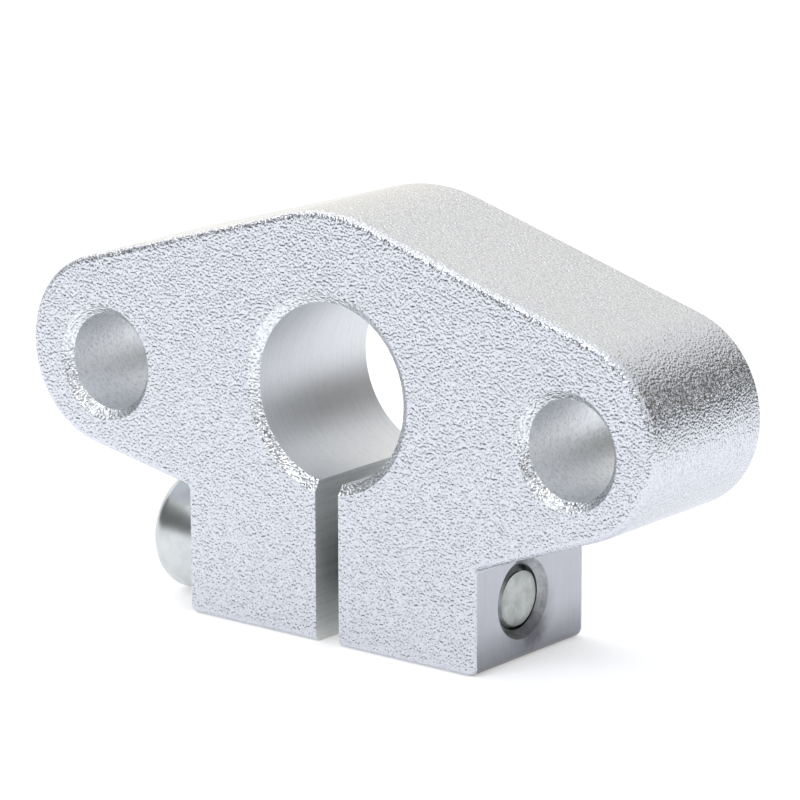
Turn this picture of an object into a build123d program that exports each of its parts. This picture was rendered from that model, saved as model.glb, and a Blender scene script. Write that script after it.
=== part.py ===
"""Flanged shaft support with a split clamp foot and its clamp screw.

Millimetres. The shaft bore runs along Y and its centre is the origin, halfway through
the flange. X runs along the line of the two mounting holes, Z is up, and the part
stands on the flat under its foot.
"""
from build123d import *
from math import cos, radians, sin, sqrt
import os

os.makedirs("parts", exist_ok=True)

# Flange
thickness = 10.0
top_radius = 10.0
ear_radius = 5.5
ear_spacing = 32.0
left_underside_slope = 11.0
right_underside_slope = 20.5
edge_rounding = 0.4

# Foot
foot_width = 20.0
foot_drop = 14.0
foot_corner_radius = 0.5
root_radius = 0.3

# Shaft bore, mounting holes and clamping slit
shaft_diameter = 10.0
bore_rim_width = 0.55
bore_rim_depth = 0.4
mounting_spacing = 32.0
mounting_drop = 0.6
mounting_diameter = 5.5
mounting_rim = 0.5
slit_width = 1.6

# Clamp screw, a socket head cap screw of 4 mm thread
screw_front_inset = 4.4
thread_diameter = 4.0
thread_pitch = 0.7
head_diameter = 6.8
head_height = 4.0
head_rounding = 1.0
head_floor_clearance = 0.02
socket_across_flats = 3.0
socket_depth = 2.0
socket_mouth = 0.15
socket_point_depth = 0.8
tip_chamfer = 0.2
end_recess = 0.35

# Seat and holes for the screw in the foot
thread_clearance = 0.04
clearance_hole_diameter = 4.5
seat_diameter = 8.0
seat_depth = 0.1
countersink_diameter = 4.5

# Worked out from the sizes above
overrun = 1.0
half_thickness = thickness / 2
foot_side = foot_width / 2
ear_x = ear_spacing / 2
screw_y = screw_front_inset - half_thickness
screw_z = head_diameter / 2 + head_floor_clearance - foot_drop
shank_radius = (thread_diameter - 0.6495 * thread_pitch) / 2
tapped_radius = shank_radius + thread_clearance
seat_x = seat_depth - foot_side
head_end_x = seat_x - head_height
tip_x = foot_side - end_recess
screw_axis = Axis((0, screw_y, screw_z), (1, 0, 0))


def underside_height(x, slope):
    """Height of an ear's sloping underside at a distance x out from the bore."""
    tilt = radians(slope)
    return (sin(tilt) * (x - ear_x) - ear_radius) / cos(tilt)


def underside_end(slope):
    """Point where the sloping underside runs into the round end of the ear."""
    tilt = radians(slope)
    return ear_x + ear_radius * sin(tilt), -ear_radius * cos(tilt)


# Flank tangent to the crown arc and to the round of the ear
flank_sine = (top_radius - ear_radius) / ear_x
flank_cosine = sqrt(1 - flank_sine**2)
crown = (top_radius * flank_sine, top_radius * flank_cosine)
shoulder = (ear_x + ear_radius * flank_sine, ear_radius * flank_cosine)
right_end = underside_end(right_underside_slope)
left_end = underside_end(left_underside_slope)
right_root = (foot_side, underside_height(foot_side, right_underside_slope))
left_root = (-foot_side, underside_height(foot_side, left_underside_slope))

with BuildPart() as support:
    # One section carries the round ears, the sloping flanks and the foot
    with BuildSketch(Plane.XZ) as section:
        with BuildLine():
            ThreePointArc((-crown[0], crown[1]), (0, top_radius), crown)
            Line(crown, shoulder)
            ThreePointArc(shoulder, (ear_x + ear_radius, 0), right_end)
            Polyline(
                right_end,
                right_root,
                (foot_side, -foot_drop),
                (-foot_side, -foot_drop),
                left_root,
                (-left_end[0], left_end[1]),
            )
            ThreePointArc((-left_end[0], left_end[1]), (-ear_x - ear_radius, 0), (-shoulder[0], shoulder[1]))
            Line((-shoulder[0], shoulder[1]), (-crown[0], crown[1]))
        make_face()
        corners = section.vertices().group_by(Axis.Y)[0]
        fillet(corners, foot_corner_radius)
        roots = section.vertices().filter_by(
            lambda v: abs(abs(v.X) - foot_side) < 0.01 and v.Y > -(foot_drop + ear_radius) / 2
        )
        fillet(roots, root_radius)
    extrude(amount=half_thickness, both=True)

    # Blasted casting, its front and back edges rounded all the way round
    fillet(support.faces().filter_by(Axis.Y).edges(), edge_rounding)

    # Shaft bore and the two mounting holes, each with a bevelled rim front and back
    with BuildSketch(Plane.XZ):
        Circle(shaft_diameter / 2)
    extrude(amount=half_thickness + overrun, both=True, mode=Mode.SUBTRACT)
    with BuildSketch(Plane.XZ):
        with Locations((-mounting_spacing / 2, -mounting_drop), (mounting_spacing / 2, -mounting_drop)):
            Circle(mounting_diameter / 2)
    extrude(amount=half_thickness + overrun, both=True, mode=Mode.SUBTRACT)
    for face in support.faces().filter_by(Axis.Y):
        rims = face.edges().filter_by(GeomType.CIRCLE)
        bore_rim = rims.filter_by(lambda e: abs(e.radius - shaft_diameter / 2) < 0.01)
        chamfer(bore_rim, bore_rim_width, bore_rim_depth, reference=face)
    mounting_rims = (
        support.faces()
        .filter_by(Axis.Y)
        .edges()
        .filter_by(GeomType.CIRCLE)
        .filter_by(lambda e: abs(e.radius - mounting_diameter / 2) < 0.01)
    )
    chamfer(mounting_rims, mounting_rim)

    # Clamping slit from the bore out through the foot
    with BuildSketch(Plane.XZ):
        with Locations((0, -(foot_drop + overrun) / 2)):
            Rectangle(slit_width, foot_drop + overrun)
    extrude(amount=half_thickness + overrun, both=True, mode=Mode.SUBTRACT)

    # Seat for the screw head, which also clears the root under the left ear
    with BuildSketch(Plane.YZ.offset(seat_x)):
        with Locations((screw_y, screw_z)):
            Circle(seat_diameter / 2)
    extrude(amount=-(head_height + overrun), mode=Mode.SUBTRACT)

    # Clearance hole through the left half, tapped hole through the right half
    with BuildSketch(Plane.YZ.offset(seat_x - overrun)):
        with Locations((screw_y, screw_z)):
            Circle(clearance_hole_diameter / 2)
    extrude(amount=overrun - seat_x, mode=Mode.SUBTRACT)
    with BuildSketch(Plane.YZ):
        with Locations((screw_y, screw_z)):
            Circle(tapped_radius)
    extrude(amount=foot_side + overrun, mode=Mode.SUBTRACT)
    mouth = (
        support.edges()
        .filter_by(GeomType.CIRCLE)
        .filter_by(lambda e: abs(e.radius - tapped_radius) < 0.01 and e.center().X > foot_side - 0.1)
    )
    chamfer(mouth, countersink_diameter / 2 - tapped_radius)

with BuildPart() as screw:
    # Head, shank at the pitch line of the thread, and bevelled point in one turning
    with BuildSketch(Plane((0, screw_y, screw_z), x_dir=(1, 0, 0), z_dir=(0, -1, 0))) as turning:
        with BuildLine():
            Polyline(
                (head_end_x, 0),
                (head_end_x, head_diameter / 2),
                (seat_x, head_diameter / 2),
                (seat_x, shank_radius),
                (tip_x - tip_chamfer, shank_radius),
                (tip_x, shank_radius - tip_chamfer),
                (tip_x, 0),
                close=True,
            )
        make_face()
        fillet(turning.vertices().sort_by(lambda v: v.Y - v.X)[-1], head_rounding)
    revolve(axis=screw_axis)

    # Hexagon socket, its lead-in bevel and the point left by the pilot drill
    with BuildSketch(Plane.YZ.offset(head_end_x)):
        with Locations((screw_y, screw_z)):
            RegularPolygon(socket_across_flats / 2, 6, major_radius=False)
    extrude(amount=socket_depth, mode=Mode.SUBTRACT)
    with BuildSketch(Plane((0, screw_y, screw_z), x_dir=(1, 0, 0), z_dir=(0, -1, 0))):
        corner_radius = socket_across_flats / sqrt(3)
        with BuildLine():
            Polyline(
                (head_end_x - overrun, 0),
                (head_end_x - overrun, corner_radius + socket_mouth + overrun),
                (head_end_x + corner_radius + socket_mouth, 0),
                close=True,
            )
        make_face()
        drilled_radius = socket_across_flats / 2 - socket_mouth
        with BuildLine():
            Polyline(
                (head_end_x, 0),
                (head_end_x, drilled_radius),
                (head_end_x + socket_depth, drilled_radius),
                (head_end_x + socket_depth + socket_point_depth, 0),
                close=True,
            )
        make_face()
    revolve(axis=screw_axis, mode=Mode.SUBTRACT)

support.part.label = "support_body"
screw.part.label = "clamp_screw"
export_step(support.part, "parts/support_body.step")
export_step(screw.part, "parts/clamp_screw.step")
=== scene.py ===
"""Dresses, lights and frames the flanged shaft support.

Every length in a dataclass is in millimetres and is turned to metres by ``mm``. The frame
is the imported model's: X along the mounting holes, Y along the shaft bore, Z up.
"""
from __future__ import annotations

import logging
import math
from dataclasses import dataclass
from enum import Enum
from typing import Any, Callable, Iterable, Mapping

import bpy
from mathutils import Matrix, Vector

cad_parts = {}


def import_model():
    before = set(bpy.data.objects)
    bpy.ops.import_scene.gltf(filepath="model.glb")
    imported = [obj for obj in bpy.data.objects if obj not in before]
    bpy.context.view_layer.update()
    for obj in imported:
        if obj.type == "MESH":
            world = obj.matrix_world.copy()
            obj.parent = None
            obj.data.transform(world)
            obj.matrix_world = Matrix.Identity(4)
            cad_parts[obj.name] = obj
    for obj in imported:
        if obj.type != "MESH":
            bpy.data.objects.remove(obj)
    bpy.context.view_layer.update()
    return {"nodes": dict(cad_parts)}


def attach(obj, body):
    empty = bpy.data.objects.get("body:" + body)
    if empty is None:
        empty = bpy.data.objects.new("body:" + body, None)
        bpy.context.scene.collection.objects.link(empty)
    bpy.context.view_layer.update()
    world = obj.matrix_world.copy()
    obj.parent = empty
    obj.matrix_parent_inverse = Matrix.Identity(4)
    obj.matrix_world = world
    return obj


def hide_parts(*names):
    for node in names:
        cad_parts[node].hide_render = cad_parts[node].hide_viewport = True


LOG = logging.getLogger("shaft_support")
IMAGE_SIDE = 800
SENSOR_MM = 36.0
MM_PER_METRE = 1000.0
WHITE = "FFFFFF"
# A point this near a plane, in millimetres, counts as on it
ON_PLANE = 0.01

NodeTree = bpy.types.NodeTree
Node = bpy.types.Node
Socket = bpy.types.NodeSocket
Material = bpy.types.Material
Piece = bpy.types.Object
Colour = tuple[float, float, float, float]
Point = tuple[float, float, float]


def mm(length: float) -> float:
    """Metres from millimetres."""
    return length / MM_PER_METRE


def linear(hex_colour: str) -> Colour:
    """Linear colour of an sRGB hex value.

    Args:
        hex_colour: six hex digits, such as "D1D6DE".

    Returns:
        Red, green, blue and an alpha of 1, as Blender's sockets take them.
    """
    parts = [int(hex_colour[i : i + 2], 16) / 255.0 for i in (0, 2, 4)]
    r, g, b = (c / 12.92 if c <= 0.04045 else ((c + 0.055) / 1.055) ** 2.4 for c in parts)
    return r, g, b, 1.0


def add_node(
    tree: NodeTree,
    kind: str,
    settings: dict[str, Any] | None = None,
    values: dict[str | int, Any] | None = None,
) -> Node:
    """Adds one node to a tree.

    Args:
        tree: the node tree.
        kind: Blender's name of the node type.
        settings: properties of the node, by name.
        values: inputs by name or number. A socket is linked, anything else is its value.

    Returns:
        The new node.
    """
    node = tree.nodes.new(kind)
    for name, setting in (settings or {}).items():
        setattr(node, name, setting)
    for name, value in (values or {}).items():
        if isinstance(value, Socket):
            tree.links.new(value, node.inputs[name])
        else:
            node.inputs[name].default_value = value
    return node


def set_ramp(node: Node, stops: Iterable[tuple[float, str]]) -> None:
    """Gives a colour ramp node its two stops.

    Args:
        node: the colour ramp.
        stops: place and sRGB hex value of the lower stop, then of the upper one.
    """
    for element, (place, hex_colour) in zip(node.color_ramp.elements, stops):
        element.position = place
        element.color = linear(hex_colour)


def empty_material(name: str) -> Material:
    """A material without nodes.

    Args:
        name: the finish's name.

    Returns:
        The material, its node tree empty.
    """
    material = bpy.data.materials.new(name)
    material.use_nodes = True
    material.node_tree.nodes.clear()
    return material


def new_material(name: str) -> tuple[Material, Node]:
    """A material with a surface shader joined to its output.

    Args:
        name: the finish's name.

    Returns:
        The material and its shader node.
    """
    material = empty_material(name)
    tree = material.node_tree
    shader = add_node(tree, "ShaderNodeBsdfPrincipled")
    add_node(tree, "ShaderNodeOutputMaterial", values={"Surface": shader.outputs["BSDF"]})
    return material, shader


@dataclass(frozen=True)
class GrimeAndShade:
    """A darkening, oily dirt in some places and painted shade in others, that is darkest at one place
    and gives way, with a ragged edge, to clean metal.

    ``axes`` has a 1 for each axis that the distance from the centre is measured along. Up
    to ``near`` the metal keeps only the share ``darkest`` of its colour, past ``far`` all.
    Where ``near`` is the larger of the two, the darkening lies in a ring round clean metal.
    """

    centre: Point
    axes: Point
    near: float
    far: float
    darkest: float
    ragged: float = 0.6
    blotch_size: float = 0.6
    blotch_detail: float = 4.0
    blotch_roughness: float = 0.6

    def factor(self, tree: NodeTree, place: Socket) -> Socket:
        """How much of the metal's colour is left at each point.

        Args:
            tree: the material's node tree.
            place: Object coordinates.

        Returns:
            A value from ``darkest``, where the darkening lies, up to 1.
        """
        flat = add_node(
            tree,
            "ShaderNodeVectorMath",
            {"operation": "MULTIPLY"},
            {0: place, 1: self.axes},
        )
        centre = tuple(mm(c) * a for c, a in zip(self.centre, self.axes))
        reach = add_node(
            tree,
            "ShaderNodeVectorMath",
            {"operation": "DISTANCE"},
            {0: flat.outputs["Vector"], 1: centre},
        )
        blotches = add_node(
            tree,
            "ShaderNodeTexNoise",
            values={
                "Vector": place,
                "Scale": 1 / mm(self.blotch_size),
                "Detail": self.blotch_detail,
                "Roughness": self.blotch_roughness,
            },
        )
        edge = add_node(
            tree,
            "ShaderNodeMath",
            {"operation": "MULTIPLY_ADD"},
            {0: blotches.outputs["Fac"], 1: mm(self.ragged), 2: reach.outputs["Value"]},
        )
        left = add_node(
            tree,
            "ShaderNodeMapRange",
            {"interpolation_type": "SMOOTHSTEP"},
            {
                "Value": edge.outputs["Value"],
                "From Min": mm(self.near + self.ragged / 2),
                "From Max": mm(self.far + self.ragged / 2),
                "To Min": self.darkest,
                "To Max": 1.0,
            },
        )
        return left.outputs["Result"]


def soiled_and_shaded(tree: NodeTree, colour: Socket, place: Socket, grime_and_shade: Iterable[GrimeAndShade]) -> Socket:
    """Darkens a colour with each kind of oily dirt and painted shade on a face.

    Args:
        tree: the material's node tree.
        colour: the clean metal's colour.
        place: Object coordinates.
        grime_and_shade: the kinds of oily dirt and painted shade on this face.

    Returns:
        The colour with the dirt and the painted shade on it.
    """
    for dirt in grime_and_shade:
        darker = add_node(
            tree,
            "ShaderNodeVectorMath",
            {"operation": "SCALE"},
            {0: colour, "Scale": dirt.factor(tree, place)},
        )
        colour = darker.outputs["Vector"]
    return colour


@dataclass(frozen=True)
class BlastedCastAluminium:
    """Die-cast aluminium alloy, shot blasted: a dull silver skin of small pits that glint.

    The pits have the width that shot of about 0.2 mm leaves. The grain between them is finer
    in the real skin, and is drawn as coarse as it needs to be to show.
    """

    name: str = "blasted_cast_aluminium"
    pale: str = "D6D9E1"
    dull: str = "CCCFD7"
    pit_size: float = 0.142
    pit_detail: float = 0.6
    grain_size: float = 0.09
    grain_weight: float = 0.3
    pit_depth: float = 0.078
    dull_below: float = 0.38
    pale_above: float = 0.47
    pattern_low: float = 0.3
    pattern_high: float = 0.7
    roughness_low: float = 0.23
    roughness_high: float = 0.30

    def build(self) -> Material:
        """Makes the material.

        Returns:
            The material.
        """
        material, shader = new_material(self.name)
        tree = material.node_tree
        place = add_node(tree, "ShaderNodeTexCoord").outputs["Object"]
        pits = add_node(
            tree,
            "ShaderNodeTexNoise",
            values={
                "Vector": place,
                "Scale": 1 / mm(self.pit_size),
                "Detail": self.pit_detail,
            },
        )
        grain = add_node(
            tree,
            "ShaderNodeTexNoise",
            values={"Vector": place, "Scale": 1 / mm(self.grain_size), "Detail": 0.0},
        )
        height = add_node(
            tree,
            "ShaderNodeMath",
            {"operation": "MULTIPLY_ADD"},
            {0: grain.outputs["Fac"], 1: self.grain_weight, 2: pits.outputs["Fac"]},
        )
        bump = add_node(
            tree,
            "ShaderNodeBump",
            values={"Strength": 1.0, "Distance": mm(self.pit_depth), "Height": height.outputs["Value"]},
        )
        colour = add_node(tree, "ShaderNodeValToRGB", values={"Fac": pits.outputs["Fac"]})
        set_ramp(colour, ((self.dull_below, self.dull), (self.pale_above, self.pale)))
        rough = add_node(
            tree,
            "ShaderNodeMapRange",
            values={
                "Value": pits.outputs["Fac"],
                "From Min": self.pattern_low,
                "From Max": self.pattern_high,
                "To Min": self.roughness_low,
                "To Max": self.roughness_high,
            },
        )
        tree.links.new(colour.outputs["Color"], shader.inputs["Base Color"])
        tree.links.new(rough.outputs["Result"], shader.inputs["Roughness"])
        tree.links.new(bump.outputs["Normal"], shader.inputs["Normal"])
        shader.inputs["Metallic"].default_value = 1.0
        return material


class CutDirection(Enum):
    """The way a cutter's marks run on a machined face: its axis has the small factor."""

    ALONG_Y = (1.0, 0.04, 1.0)
    ALONG_Z = (1.0, 1.0, 0.04)
    AROUND_Y = (0.05, 1.0, 0.05)
    AROUND_X = (1.0, 0.05, 0.05)


@dataclass(frozen=True)
class MachinedAluminium:
    """Cast aluminium after a cutter has passed: a brighter, smoother face with faint tool lines.

    The lines lie as far apart as a feed of 0.14 to 0.2 mm per turn leaves them, and the
    specks are the alloy's open pores.
    """

    name: str
    marks: CutDirection
    pale: str = "E4E6EA"
    dull: str = "C4C6CB"
    line_spacing: float = 0.14
    line_depth: float = 0.003
    line_detail: float = 2.0
    line_roughness: float = 0.6
    speck_size: float = 0.25
    speck_share: float = 0.45
    speck_detail: float = 3.0
    speck_roughness: float = 0.7
    dull_below: float = 0.36
    pale_above: float = 0.52
    roughness: float = 0.38
    grime_and_shade: tuple[GrimeAndShade, ...] = ()

    def build(self) -> Material:
        """Makes the material.

        Returns:
            The material.
        """
        material, shader = new_material(self.name)
        tree = material.node_tree
        place = add_node(tree, "ShaderNodeTexCoord").outputs["Object"]
        drawn = add_node(
            tree,
            "ShaderNodeMapping",
            values={"Vector": place, "Scale": self.marks.value},
        )
        lines = add_node(
            tree,
            "ShaderNodeTexNoise",
            values={
                "Vector": drawn.outputs["Vector"],
                "Scale": 1 / mm(self.line_spacing),
                "Detail": self.line_detail,
                "Roughness": self.line_roughness,
            },
        )
        specks = add_node(
            tree,
            "ShaderNodeTexNoise",
            values={
                "Vector": place,
                "Scale": 1 / mm(self.speck_size),
                "Detail": self.speck_detail,
                "Roughness": self.speck_roughness,
            },
        )
        height = add_node(
            tree,
            "ShaderNodeMix",
            {"data_type": "FLOAT"},
            {0: self.speck_share, 2: lines.outputs["Fac"], 3: specks.outputs["Fac"]},
        )
        bump = add_node(
            tree,
            "ShaderNodeBump",
            values={"Strength": 1.0, "Distance": mm(self.line_depth), "Height": height.outputs[0]},
        )
        colour = add_node(tree, "ShaderNodeValToRGB", values={"Fac": height.outputs[0]})
        set_ramp(colour, ((self.dull_below, self.dull), (self.pale_above, self.pale)))
        seen = soiled_and_shaded(tree, colour.outputs["Color"], place, self.grime_and_shade)
        tree.links.new(seen, shader.inputs["Base Color"])
        tree.links.new(bump.outputs["Normal"], shader.inputs["Normal"])
        shader.inputs["Metallic"].default_value = 1.0
        shader.inputs["Roughness"].default_value = self.roughness
        return material


@dataclass(frozen=True)
class PlatedSteel:
    """Zinc-plated carbon steel: a smooth, slightly clouded silver with a grey-green cast.

    The clouds are about a millimetre wide, as handling leaves them. The scratches are finer
    in the real plating, and are drawn as coarse as they need to be to show.
    """

    name: str = "zinc_plated_steel"
    pale: str = "D0D4D5"
    dull: str = "C2C6C7"
    cloud_size: float = 1.1
    cloud_detail: float = 3.0
    cloud_roughness: float = 0.6
    scratch_size: float = 0.10
    scratch_depth: float = 0.0015
    scratch_detail: float = 2.0
    dull_below: float = 0.30
    pale_above: float = 0.60
    roughness: float = 0.3
    grime_and_shade: tuple[GrimeAndShade, ...] = ()

    def build(self) -> Material:
        """Makes the material.

        Returns:
            The material.
        """
        material, shader = new_material(self.name)
        tree = material.node_tree
        place = add_node(tree, "ShaderNodeTexCoord").outputs["Object"]
        clouds = add_node(
            tree,
            "ShaderNodeTexNoise",
            values={
                "Vector": place,
                "Scale": 1 / mm(self.cloud_size),
                "Detail": self.cloud_detail,
                "Roughness": self.cloud_roughness,
            },
        )
        scratches = add_node(
            tree,
            "ShaderNodeTexNoise",
            values={
                "Vector": place,
                "Scale": 1 / mm(self.scratch_size),
                "Detail": self.scratch_detail,
            },
        )
        bump = add_node(
            tree,
            "ShaderNodeBump",
            values={
                "Strength": 1.0,
                "Distance": mm(self.scratch_depth),
                "Height": scratches.outputs["Fac"],
            },
        )
        colour = add_node(tree, "ShaderNodeValToRGB", values={"Fac": clouds.outputs["Fac"]})
        set_ramp(colour, ((self.dull_below, self.dull), (self.pale_above, self.pale)))
        seen = soiled_and_shaded(tree, colour.outputs["Color"], place, self.grime_and_shade)
        tree.links.new(seen, shader.inputs["Base Color"])
        tree.links.new(bump.outputs["Normal"], shader.inputs["Normal"])
        shader.inputs["Metallic"].default_value = 1.0
        shader.inputs["Roughness"].default_value = self.roughness
        return material


def dress_faces(
    piece: Piece,
    finishes: Mapping[Enum, Material],
    region_of: Callable[[Vector, Vector], Enum],
) -> None:
    """Gives each face of a piece the finish of the region it lies in.

    Args:
        piece: the mesh object.
        finishes: the finish of each region.
        region_of: finds the region from a face's centre, in millimetres, and its normal.
    """
    mesh = piece.data
    mesh.materials.clear()
    for material in finishes.values():
        mesh.materials.append(material)
    order = list(finishes)
    for face in mesh.polygons:
        face.material_index = order.index(region_of(face.center * MM_PER_METRE, face.normal))


class BodyRegion(Enum):
    """How each face of the support was made."""

    CAST = "cast"
    RIM = "rim"
    BORE = "bore"
    HOLE = "hole"
    SLIT = "slit"
    SIDE = "side"
    TAPPED = "tapped"


@dataclass
class SupportBody:
    """The cast support: finds each face's making by its place, and dresses it."""

    node: Piece
    bore_radius: float = 5.0
    hole_x: float = 16.0
    hole_z: float = -0.6
    hole_radius: float = 2.75
    bore_rim: float = 0.6
    hole_rim: float = 0.55
    foot_side: float = 10.0
    foot_bottom: float = -14.0
    foot_corner: float = -13.0
    slit_half: float = 0.8
    screw_y: float = -0.6
    screw_z: float = -10.58
    screw_hole_radius: float = 2.35
    # How far off its true wall the centre of a face may lie
    round_skin: float = 0.02
    slit_skin: float = 0.06
    side_skin: float = 0.2
    # Share of a normal along an axis: squarely on it, leaning like a bevel, or just off it
    square_on: float = 0.99
    bevel_low: float = 0.5
    bevel_high: float = 0.95
    mouth_limit: float = 0.9
    corner_low: float = 0.12
    edge_on: float = 0.05

    def from_bore(self, place: Vector) -> float:
        """Distance from the shaft bore's axis."""
        return math.hypot(place.x, place.z)

    def from_hole(self, place: Vector) -> float:
        """Distance from the axis of the nearer mounting hole."""
        return math.hypot(abs(place.x) - self.hole_x, place.z - self.hole_z)

    def from_screw(self, place: Vector) -> float:
        """Distance from the screw's axis."""
        return math.hypot(place.y - self.screw_y, place.z - self.screw_z)

    def region(self, place: Vector, normal: Vector) -> BodyRegion:
        """Finds how a face was made.

        Args:
            place: the face's centre, in millimetres.
            normal: its normal.

        Returns:
            The region that the face lies in.
        """
        square_on_x = abs(normal.x) > self.square_on
        if self.from_screw(place) < self.screw_hole_radius and abs(normal.x) < self.mouth_limit:
            return BodyRegion.TAPPED
        near_rim = (
            self.from_bore(place) < self.bore_radius + self.bore_rim
            or self.from_hole(place) < self.hole_radius + self.hole_rim
        )
        if near_rim and self.bevel_low < abs(normal.y) < self.bevel_high:
            return BodyRegion.RIM
        if self.from_bore(place) < self.bore_radius + self.round_skin:
            return BodyRegion.BORE
        if self.from_hole(place) < self.hole_radius + self.round_skin:
            return BodyRegion.HOLE
        if square_on_x and abs(abs(place.x) - self.slit_half) < self.slit_skin:
            return BodyRegion.SLIT
        beside_foot = abs(place.x) > self.foot_side - self.side_skin and place.z < -self.bore_radius
        round_corner = abs(normal.x) > self.corner_low and abs(normal.y) < self.edge_on
        if (square_on_x and beside_foot) or (round_corner and place.z < self.foot_corner):
            return BodyRegion.SIDE
        return BodyRegion.CAST

    def side_grime_and_shade(self) -> tuple[GrimeAndShade, ...]:
        """The dirt and painted shade on the foot's sides.

        Returns:
            Oil smeared below the screw, a blot under its mouth, and painted shade that darkens towards
            the foot's lower edge, standing for the shaded floor that the face reflects there.
        """
        round_x, upwards = (0.0, 1.0, 1.0), (0.0, 0.0, 1.0)
        y, z = self.screw_y, self.screw_z
        return (
            GrimeAndShade((0.0, y + 0.5, z - 0.9), round_x, near=1.6, far=2.6, darkest=0.78),
            GrimeAndShade(
                (0.0, y + 0.9, z - 1.8),
                round_x,
                near=0.5,
                far=1.4,
                darkest=0.5,
                ragged=0.9,
                blotch_size=0.4,
            ),
            # Painted shade: the sides darken towards the foot's lower edge, where they reflect the
            # floor shaded by the foot
            GrimeAndShade((0.0, 0.0, self.foot_bottom), upwards, near=0.2, far=2.8, darkest=0.56, ragged=0.3),
        )

    def finishes(self) -> dict[Enum, Material]:
        """Makes the support's finishes.

        Returns:
            The finish of each region.
        """
        grime_and_shade = self.side_grime_and_shade()
        return {
            BodyRegion.CAST: BlastedCastAluminium().build(),
            # The rims: their skin painted brighter, a painted highlight for their glint, and their pits
            # look deeper
            BodyRegion.RIM: BlastedCastAluminium(
                "blasted_aluminium_rim_painted_highlight",
                pale="E6E9EE",
                dull="D0D3D8",
                pit_depth=0.088,
                roughness_low=0.2,
                roughness_high=0.26,
            ).build(),
            BodyRegion.BORE: MachinedAluminium(
                "reamed_aluminium",
                CutDirection.AROUND_Y,
                pale="E4E6EA",
                dull="DDE0E4",
                line_depth=0.002,
                roughness=0.5,
            ).build(),
            BodyRegion.HOLE: MachinedAluminium(
                "drilled_aluminium",
                CutDirection.AROUND_Y,
                pale="F6F8FB",
                dull="DEE1E6",
                line_spacing=0.2,
                line_depth=0.055,
                speck_size=0.2,
                speck_share=0.85,
                roughness=0.46,
            ).build(),
            BodyRegion.SLIT: MachinedAluminium(
                "sawn_aluminium",
                CutDirection.ALONG_Y,
                pale="E6E8E9",
                dull="DADCDD",
                line_spacing=0.18,
                line_depth=0.01,
                speck_share=0.3,
                roughness=0.55,
            ).build(),
            # The foot's sides: their colour is painted darker as shade, since they face away from the
            # light
            BodyRegion.SIDE: MachinedAluminium(
                "milled_aluminium_painted_shade",
                CutDirection.ALONG_Z,
                pale="BABCC4",
                dull="B5B7BF",
                line_depth=0.002,
                roughness=0.34,
                grime_and_shade=grime_and_shade,
            ).build(),
            # Takes the sides' oil stains and their painted shade towards the foot's lower edge
            BodyRegion.TAPPED: MachinedAluminium(
                "tapped_aluminium",
                CutDirection.AROUND_X,
                pale="C0C1C6",
                dull="9EA0A3",
                line_spacing=0.2,
                line_depth=0.02,
                speck_size=0.4,
                roughness=0.4,
                grime_and_shade=grime_and_shade,
            ).build(),
        }

    def dress(self) -> None:
        """Gives each triangle the finish of the region it lies in."""
        dress_faces(self.node, self.finishes(), self.region)


class SolidStep(Enum):
    """What one solid does to another."""

    CUT = "DIFFERENCE"
    WELD = "UNION"
    TRIM = "INTERSECT"


def make_active(piece: Piece) -> None:
    """Leaves only one piece selected, and makes it the active one."""
    bpy.ops.object.select_all(action="DESELECT")
    piece.select_set(True)
    bpy.context.view_layer.objects.active = piece


def place_in_mesh() -> Piece:
    """Moves the new primitive's place into its mesh, so that its object sits at the origin."""
    bpy.ops.object.transform_apply(location=True, rotation=True, scale=True)
    return bpy.context.object


def select_edges(piece: Piece, wanted: Callable[[Vector, Vector], bool]) -> None:
    """Leaves a piece in edit mode with only the wanted edges selected.

    Args:
        piece: the mesh object.
        wanted: tells from an edge's two ends, in millimetres, if it is selected.
    """
    bpy.ops.object.mode_set(mode="EDIT")
    bpy.ops.mesh.select_mode(type="EDGE")
    bpy.ops.mesh.select_all(action="DESELECT")
    bpy.ops.object.mode_set(mode="OBJECT")
    mesh = piece.data
    for edge in mesh.edges:
        start, end = (mesh.vertices[i].co * MM_PER_METRE for i in edge.vertices)
        edge.select = wanted(start, end)
    bpy.ops.object.mode_set(mode="EDIT")


def bevel_edges(
    piece: Piece,
    wanted: Callable[[Vector, Vector], bool],
    width: float,
    segments: int,
) -> None:
    """Bevels the wanted edges of a piece, or rounds them where it takes more than one segment.

    Args:
        piece: the mesh object.
        wanted: tells from an edge's two ends, in millimetres, if it is bevelled.
        width: how far the bevel reaches from the edge.
        segments: number of strips across the bevel.
    """
    select_edges(piece, wanted)
    bpy.ops.mesh.bevel(offset=mm(width), segments=segments, profile=0.5)
    bpy.ops.object.mode_set(mode="OBJECT")


def turned_bar(radius: float, low: float, high: float, sides: int) -> Piece:
    """A round bar on the Z axis, the blank of every turned or broached shape here.

    Args:
        radius: its radius, in millimetres.
        low: height of its lower end.
        high: height of its upper end.
        sides: number of its side faces.

    Returns:
        The bar, selected, with its place in its mesh.
    """
    bpy.ops.object.select_all(action="DESELECT")
    bpy.ops.mesh.primitive_cylinder_add(
        vertices=sides, radius=mm(radius), depth=mm(high - low), location=(0, 0, mm((high + low) / 2))
    )
    return place_in_mesh()


def join_solid(body: Piece, tool: Piece, step: SolidStep) -> None:
    """Cuts a body with a tool, welds the tool on or trims the body to it, and removes the tool.

    Args:
        body: the piece that changes.
        tool: the piece that shapes it.
        step: what the tool does.
    """
    change = body.modifiers.new("solid_step", "BOOLEAN")
    change.operation = step.value
    change.solver = "EXACT"
    change.object = tool
    make_active(body)
    bpy.ops.object.modifier_apply(modifier=change.name)
    bpy.data.objects.remove(tool)


class ScrewRegion(Enum):
    """The parts of the screw that look different."""

    HEAD = "head"
    THREAD = "thread"
    END = "end"


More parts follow.
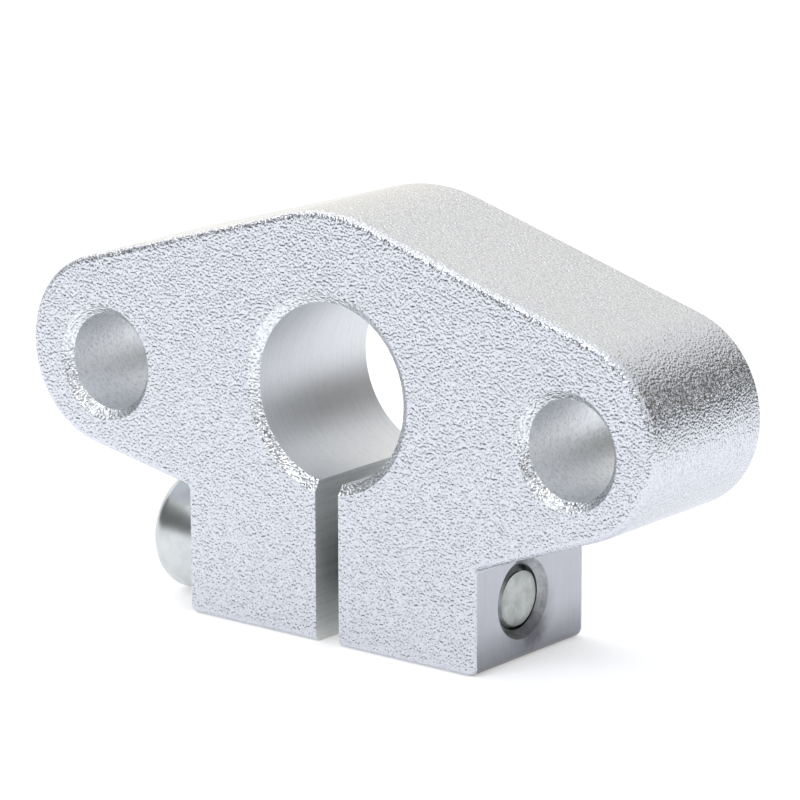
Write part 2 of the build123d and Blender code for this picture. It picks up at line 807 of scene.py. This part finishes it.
@dataclass
class ClampScrew:
    """The socket head cap screw: turned head, broached socket, cut thread and cropped end.

    It is modelled upright, head on top, with heights counted along the screw, and laid into
    the foot at the end. The thread's crests stay inside the tapped hole's plain wall.
    """

    seat: float = 9.9
    head_height: float = 4.0
    head_radius: float = 3.4
    head_rounding: float = 1.0
    rounding_segments: int = 10
    seat_bevel: float = 0.12
    seat_bevel_segments: int = 2
    socket_sides: int = 6
    socket_flats: float = 3.0
    socket_depth: float = 2.0
    socket_mouth: float = 0.15
    socket_point: float = 0.8
    pilot_inset: float = 0.15
    tip: float = -9.65
    tip_radius: float = 1.57
    neck_length: float = 0.8
    neck_radius: float = 1.72
    crest_radius: float = 1.79
    root_radius: float = 1.4
    pitch: float = 0.7
    # Crest's and root's width, each as a share of the pitch
    flat_share: float = 0.2
    axis_y: float = -0.6
    axis_z: float = -10.58
    sides: int = 96
    smooth_degrees: float = 32.0
    # How far a cutter or a joined piece reaches past the face it meets
    cutter_overrun: float = 1.0
    pilot_overlap: float = 0.001
    head_overlap: float = 0.5
    neck_overlap: float = 0.2
    crest_margin: float = 0.05
    # Turns wound past the screw's point, and the share of one that is left there to trim
    lead_in_turns: int = 2
    trimmed_share: float = 0.25
    # Points of the wound outline nearer than this are one
    merge_distance: float = 0.002
    cut_tolerance: float = 0.0001

    def cone(self, wide: float, top: float, bottom: float) -> Piece:
        """A pointed cutter that narrows downwards, for the socket's mouth and drilled point.

        Args:
            wide: its radius at the top.
            top: height of its top.
            bottom: height of its point.

        Returns:
            The cone, with its place in its mesh.
        """
        bpy.ops.object.select_all(action="DESELECT")
        bpy.ops.mesh.primitive_cone_add(
            vertices=self.sides,
            radius1=0.0,
            radius2=mm(wide),
            depth=mm(top - bottom),
            location=(0, 0, mm((top + bottom) / 2)),
        )
        return place_in_mesh()

    def head(self) -> Piece:
        """The turned head with its rounded top edge, seat bevel and socket.

        Returns:
            The head, upright.
        """
        top = self.seat + self.head_height
        head = turned_bar(self.head_radius, self.seat, top, self.sides)
        bevel_edges(
            head,
            lambda a, b: min(a.z, b.z) > top - ON_PLANE,
            self.head_rounding,
            self.rounding_segments,
        )
        bevel_edges(
            head,
            lambda a, b: max(a.z, b.z) < self.seat + ON_PLANE,
            self.seat_bevel,
            self.seat_bevel_segments,
        )

        corner = self.socket_flats / math.sqrt(3)
        floor = top - self.socket_depth
        above = top + self.cutter_overrun
        broach = turned_bar(corner, floor, above, self.socket_sides)
        join_solid(head, broach, SolidStep.CUT)
        mouth_radius = corner + self.socket_mouth
        mouth = self.cone(mouth_radius + self.cutter_overrun, above, top - mouth_radius)
        join_solid(head, mouth, SolidStep.CUT)
        pilot_radius = self.socket_flats / 2 - self.pilot_inset
        drilled = self.cone(pilot_radius, floor + self.pilot_overlap, floor - self.socket_point)
        join_solid(head, drilled, SolidStep.CUT)
        return head

    def profile(self, start: float) -> Piece:
        """One pitch of the thread's outline: root, flank, crest and flank, extruded in turn.

        Args:
            start: height of its first point.

        Returns:
            The outline, a string of edges in the plane of X and Z.
        """
        depth = self.crest_radius - self.root_radius
        flat, flank = self.flat_share * self.pitch, (0.5 - self.flat_share) * self.pitch
        bpy.ops.object.select_all(action="DESELECT")
        bpy.ops.mesh.primitive_plane_add(
            size=mm(self.pitch), location=(mm(self.root_radius), 0, mm(start))
        )
        outline = place_in_mesh()
        bpy.ops.object.mode_set(mode="EDIT")
        bpy.ops.mesh.select_mode(type="VERT")
        bpy.ops.mesh.select_all(action="SELECT")
        bpy.ops.mesh.merge(type="CENTER")
        for outward, upward in ((0.0, flat), (depth, flank), (0.0, flat), (-depth, flank)):
            bpy.ops.mesh.extrude_region_move(
                TRANSFORM_OT_translate={"value": (mm(outward), 0.0, mm(upward))}
            )
        bpy.ops.object.mode_set(mode="OBJECT")
        return outline

    def thread(self) -> Piece:
        """The thread: its outline wound along the screw, then cut off square at both ends.

        Returns:
            The thread as a closed solid, a little longer than the screw at its point.
        """
        start = self.tip - self.lead_in_turns * self.pitch
        end = self.seat - self.neck_length
        thread = self.profile(start)
        winding = thread.modifiers.new("winding", "SCREW")
        winding.axis = "Z"
        winding.angle = 2 * math.pi
        winding.screw_offset = mm(self.pitch)
        winding.iterations = math.ceil((end - start) / self.pitch) + 1
        winding.steps = winding.render_steps = self.sides
        bpy.ops.object.modifier_apply(modifier=winding.name)

        bpy.ops.object.mode_set(mode="EDIT")
        bpy.ops.mesh.select_all(action="SELECT")
        bpy.ops.mesh.remove_doubles(threshold=mm(self.merge_distance))
        past_point = self.tip - self.trimmed_share * self.pitch
        for height, way in ((past_point, -1.0), (end, 1.0)):
            bpy.ops.mesh.select_all(action="SELECT")
            bpy.ops.mesh.bisect(
                plane_co=(0.0, 0.0, mm(height)),
                plane_no=(0.0, 0.0, way),
                use_fill=True,
                clear_outer=True,
                threshold=mm(self.cut_tolerance),
            )
        bpy.ops.mesh.select_all(action="SELECT")
        bpy.ops.mesh.normals_make_consistent(inside=False)
        bpy.ops.object.mode_set(mode="OBJECT")
        return thread

    def shank(self) -> Piece:
        """The shank: the thread with its bevelled point, and the plain neck that enters the head.

        Returns:
            The shank, upright.
        """
        shank = self.thread()
        in_head = self.seat + self.head_overlap
        blank_radius = self.crest_radius + self.crest_margin
        blank = turned_bar(blank_radius, self.tip, in_head, self.sides)
        bevel_edges(
            blank,
            lambda a, b: max(a.z, b.z) < self.tip + ON_PLANE,
            blank_radius - self.tip_radius,
            segments=1,
        )
        join_solid(shank, blank, SolidStep.TRIM)
        neck_start = self.seat - self.neck_length - self.neck_overlap
        neck = turned_bar(self.neck_radius, neck_start, in_head, self.sides)
        join_solid(shank, neck, SolidStep.WELD)
        return shank

    def region(self, place: Vector, _normal: Vector) -> ScrewRegion:
        """Finds which part of the laid screw a face belongs to.

        Args:
            place: the face's centre, in millimetres.
            _normal: its normal, which tells nothing more here.

        Returns:
            The head, the thread or the cropped end.
        """
        if place.x > -self.tip - ON_PLANE:
            return ScrewRegion.END
        if place.x > -self.seat + ON_PLANE:
            return ScrewRegion.THREAD
        return ScrewRegion.HEAD

    def finishes(self) -> dict[Enum, Material]:
        """Makes the screw's finishes.

        Returns:
            The finish of each part: oil and painted shade darken the thread and ring the cropped end.
        """
        round_x = (0.0, 1.0, 1.0)
        y, z = self.axis_y, self.axis_z
        # Oil and painted shade on the cropped end: a blot at its lower edge and a ring darkest at its
        # rim, beside the tapped hole
        end_grime_and_shade = (
            GrimeAndShade((0.0, y, z - 1.9), round_x, 0.3, 1.2, 0.6, ragged=0.5, blotch_size=0.4),
            GrimeAndShade((0.0, y, z), round_x, 1.9, 1.1, 0.45, ragged=0.3, blotch_size=0.4),
        )
        return {
            ScrewRegion.HEAD: PlatedSteel().build(),
            # The thread and its bevelled point are dark from oil and painted shade, where the tapped
            # hole shades them
            ScrewRegion.THREAD: PlatedSteel("oiled_and_shaded_steel_thread", "8A8E8C", "5E6260").build(),
            ScrewRegion.END: PlatedSteel(
                "cropped_steel_end",
                pale="B9BCBC",
                dull="9FA3A1",
                cloud_size=0.7,
                scratch_size=0.14,
                scratch_depth=0.004,
                roughness=0.34,
                grime_and_shade=end_grime_and_shade,
            ).build(),
        }

    def build(self) -> Piece:
        """Makes the screw, lays it into the foot and dresses it.

        Returns:
            The finished screw, riding on the body that turns.
        """
        screw = self.head()
        join_solid(screw, self.shank(), SolidStep.WELD)
        screw.name = "threaded_clamp_screw"
        across_foot = Matrix.Rotation(math.radians(-90), 4, "Y")
        to_axis = Matrix.Translation((0, mm(self.axis_y), mm(self.axis_z)))
        screw.data.transform(to_axis @ across_foot)
        make_active(screw)
        bpy.ops.object.shade_smooth_by_angle(angle=math.radians(self.smooth_degrees))
        dress_faces(screw, self.finishes(), self.region)
        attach(screw, "screw")
        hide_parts("clamp_screw")
        return screw


@dataclass(frozen=True)
class SoftBox:
    """A square lamp aimed at the object.

    Its size is that of its side. Its brightness is the radiance of its face, where 1 is as
    bright as white paper.
    """

    name: str
    place: Point
    size: float
    brightness: float
    colour: str

    def build(self) -> None:
        """Adds the lamp to the scene."""
        data = bpy.data.lights.new(self.name, "AREA")
        data.shape = "SQUARE"
        data.size = mm(self.size)
        data.energy = self.brightness * math.pi * mm(self.size) ** 2
        data.color = linear(self.colour)[:3]
        lamp = bpy.data.objects.new(self.name, data)
        bpy.context.scene.collection.objects.link(lamp)
        lamp.location = [mm(v) for v in self.place]
        lamp.rotation_euler = (-Vector(self.place)).to_track_quat("-Z", "Y").to_euler()


@dataclass(frozen=True)
class Card:
    """A card out of the picture that only the metal's reflections show.

    A grey one darkens what faces it. A glow above 1 makes a card brighter than its colour.
    """

    name: str
    place: Point
    size: tuple[float, float]
    colour: str
    glow: float = 1.0

    def build(self) -> None:
        """Adds the card to the scene, turned to face the object."""
        bpy.ops.mesh.primitive_plane_add(size=1.0, location=(0, 0, 0))
        card = bpy.context.object
        card.name = self.name
        turn = (-Vector(self.place)).to_track_quat("Z", "Y").to_matrix().to_4x4()
        spread = Matrix.Diagonal((mm(self.size[0]), mm(self.size[1]), 1.0, 1.0))
        card.data.transform(Matrix.Translation([mm(v) for v in self.place]) @ turn @ spread)
        card.visible_camera = False
        card.visible_diffuse = False
        material = empty_material(self.name + "_card")
        tree = material.node_tree
        face = add_node(
            tree,
            "ShaderNodeEmission",
            values={"Color": linear(self.colour), "Strength": self.glow},
        )
        add_node(tree, "ShaderNodeOutputMaterial", values={"Surface": face.outputs["Emission"]})
        card.data.materials.append(material)


@dataclass
class Studio:
    """Pale floor, soft lamps, white surround and the camera that took the picture.

    The floor lies a hair below the foot, so that the two never share a plane.
    """

    floor_z: float = -14.01
    floor_side: float = 3000.0
    paper: str = "EFF2F7"
    paper_lift: float = 0.30
    lift_colour: str = "FFFAF0"
    ambient: str = "F8F8F8"
    lamps: tuple[SoftBox, ...] = (
        SoftBox("top_soft_box", (-170, -10, 360), 420, 0.15, "FFFBF2"),
        SoftBox("left_key", (-290, 120, 250), 300, 0.9, "FFFAF0"),
        SoftBox("front_lamp", (-77, -287, 297), 150, 4.4, WHITE),
    )
    cards: tuple[Card, ...] = (
        Card("right_back", (216, 258, 106), (430, 238), "605E55"),
        Card("front_left", (-231, -239, 112), (560, 222), "616160"),
        Card("front", (30, -297, 30), (250, 110), "616160"),
        Card("back_left", (-180, 300, 90), (420, 300), "FAF6EA", glow=1.14),
        Card("camera_side", (204, -226, 99), (190, 220), "2C2C2C"),
    )
    # The camera, as fitted to the photograph: focal length and optical axis in its pixels
    focal_px: float = 4485.6
    axis_px: tuple[float, float] = (414.9, 401.8)
    camera_at: Point = (148.76, -185.15, 58.31)
    look: Point = (-0.6021, 0.7603, -0.2437)
    roll_degrees: float = -0.09
    near_clip: float = 10.0
    far_clip: float = 10000.0

    def seen_rays(self, tree: NodeTree) -> Socket:
        """Tells the rays that show a background from those that only light with it.

        Args:
            tree: node tree of a material or a world.

        Returns:
            A value of 1 for camera, transmission and glossy rays.
        """
        rays = add_node(tree, "ShaderNodeLightPath")
        seen = rays.outputs["Is Camera Ray"]
        for kind in ("Is Transmission Ray", "Is Glossy Ray"):
            seen = add_node(
                tree, "ShaderNodeMath", {"operation": "MAXIMUM"}, {0: seen, 1: rays.outputs[kind]}
            ).outputs["Value"]
        return seen

    def floor(self) -> None:
        """A pale floor that keeps a faint shadow under the object."""
        bpy.ops.mesh.primitive_plane_add(size=mm(self.floor_side), location=(0, 0, mm(self.floor_z)))
        plane = bpy.context.object
        plane.name = "floor"
        plane.data.transform(plane.matrix_world)
        plane.matrix_world = Matrix.Identity(4)
        material = empty_material("white_paper_sweep")
        tree = material.node_tree
        paper = add_node(tree, "ShaderNodeBsdfDiffuse", values={"Color": linear(self.paper)})
        lift = add_node(
            tree,
            "ShaderNodeMath",
            {"operation": "MULTIPLY"},
            {0: self.seen_rays(tree), 1: self.paper_lift},
        )
        glow = add_node(
            tree,
            "ShaderNodeEmission",
            values={"Color": linear(self.lift_colour), "Strength": lift.outputs["Value"]},
        )
        both = add_node(
            tree,
            "ShaderNodeAddShader",
            values={0: paper.outputs["BSDF"], 1: glow.outputs["Emission"]},
        )
        add_node(tree, "ShaderNodeOutputMaterial", values={"Surface": both.outputs["Shader"]})
        plane.data.materials.append(material)

    def surround(self) -> None:
        """White surround where it is seen or reflected, a shade less where it only lights."""
        world = bpy.data.worlds.new("studio")
        bpy.context.scene.world = world
        world.use_nodes = True
        tree = world.node_tree
        tree.nodes.clear()
        colour = add_node(
            tree,
            "ShaderNodeMix",
            {"data_type": "RGBA"},
            {0: self.seen_rays(tree), 6: linear(self.ambient), 7: linear(WHITE)},
        )
        background = add_node(
            tree,
            "ShaderNodeBackground",
            values={"Color": colour.outputs[2], "Strength": 1.0},
        )
        add_node(tree, "ShaderNodeOutputWorld", values={"Surface": background.outputs["Background"]})

    def camera(self) -> None:
        """A long lens at the place and tilt that the picture was taken from."""
        data = bpy.data.cameras.new("camera")
        data.sensor_width = SENSOR_MM
        data.lens = self.focal_px / IMAGE_SIDE * SENSOR_MM
        data.shift_x = (IMAGE_SIDE / 2 - self.axis_px[0]) / IMAGE_SIDE
        data.shift_y = (self.axis_px[1] - IMAGE_SIDE / 2) / IMAGE_SIDE
        data.clip_start = mm(self.near_clip)
        data.clip_end = mm(self.far_clip)
        camera = bpy.data.objects.new("camera", data)
        bpy.context.scene.collection.objects.link(camera)
        camera.location = [mm(v) for v in self.camera_at]
        turn = Vector(self.look).to_track_quat("-Z", "Y").to_matrix()
        roll = Matrix.Rotation(math.radians(self.roll_degrees), 3, "Z")
        camera.rotation_euler = (turn @ roll).to_euler()
        bpy.context.scene.camera = camera

    def build(self) -> None:
        """Sets up floor, surround, lamps, cards and camera."""
        self.floor()
        self.surround()
        for lamp in self.lamps:
            lamp.build()
        for card in self.cards:
            card.build()
        self.camera()


def main() -> None:
    """Builds the scene in order and reports each piece."""
    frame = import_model()
    bpy.ops.object.select_all(action="DESELECT")
    scene = bpy.context.scene
    scene.view_settings.view_transform = "Standard"
    SupportBody(frame["nodes"]["support_body"]).dress()
    LOG.info("support body dressed")
    screw = ClampScrew().build()
    LOG.info("clamp screw built, %d faces", len(screw.data.polygons))
    Studio().build()
    LOG.info("studio built")


if __name__ == "__main__":
    logging.basicConfig(level=logging.INFO)
    main()
